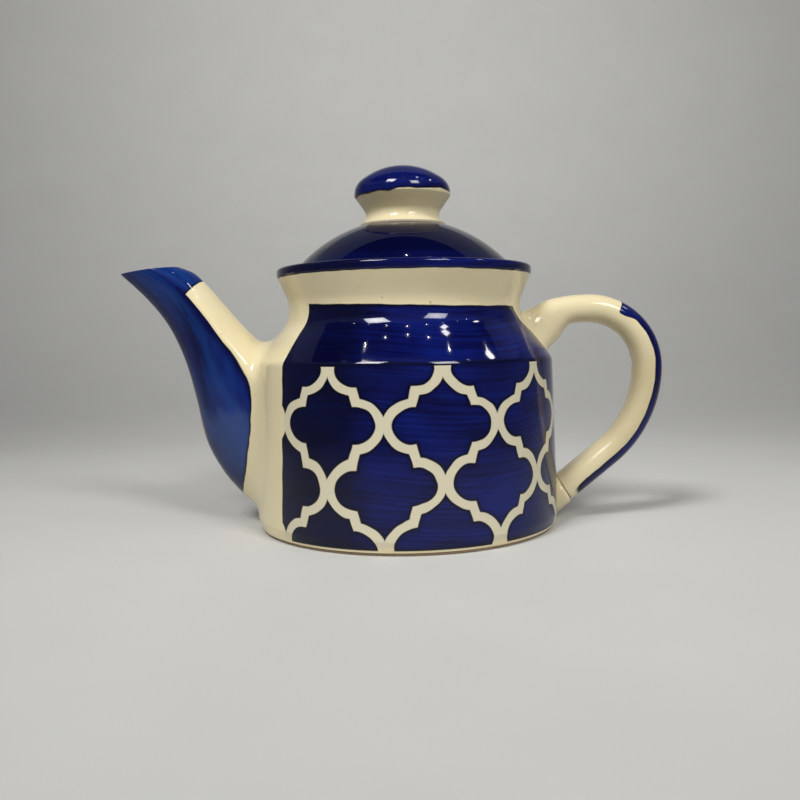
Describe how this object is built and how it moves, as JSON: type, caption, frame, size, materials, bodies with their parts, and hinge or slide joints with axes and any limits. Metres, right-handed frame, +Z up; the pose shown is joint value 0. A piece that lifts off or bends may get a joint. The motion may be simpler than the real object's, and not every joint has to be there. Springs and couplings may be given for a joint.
{
  "type": "teapot",
  "caption": "Glazed ceramic teapot with a drum-shaped body, sloped shoulder, flared neck, curved pouring spout, loop handle and a lift-off domed lid with a knob.",
  "frame": {"origin": "centre of the foot, on the surface that the pot stands on", "axes": "+Z up along the pot's axis, -X towards the spout, +X towards the handle"},
  "size_m": [0.1872, 0.104, 0.1227],
  "materials": {
    "pot_glaze": "glossy cobalt glaze with an ivory trellis",
    "bare_clay": "unglazed fired clay",
    "spout_glaze": "glossy blue glaze brushed over ivory",
    "slip_clay": "fired slip",
    "handle_glaze": "glossy ivory glaze with a blue stripe",
    "lid_glaze": "glossy cobalt glaze",
    "flange_glaze": "glossy ivory glaze",
    "knob_glaze": "glossy ivory glaze with a blue cap"
  },
  "bodies": {
    "pot": {"pot_body": "pot_glaze", "foot_ring": "bare_clay", "spout": "spout_glaze", "spout_slip": "slip_clay", "handle": "handle_glaze", "handle_upper_pad": "handle_glaze", "handle_lower_pad": "handle_glaze"},
    "lid": {"lid_dome": "lid_glaze", "lid_flange": "flange_glaze", "knob_slip": "slip_clay", "lid_knob": "knob_glaze"}
  },
  "joints": [
    {"name": "lid_lift", "type": "slide", "parent": "pot", "child": "lid", "axis": [0, 0, 1], "range_m": [0, 0.06]}
  ]
}
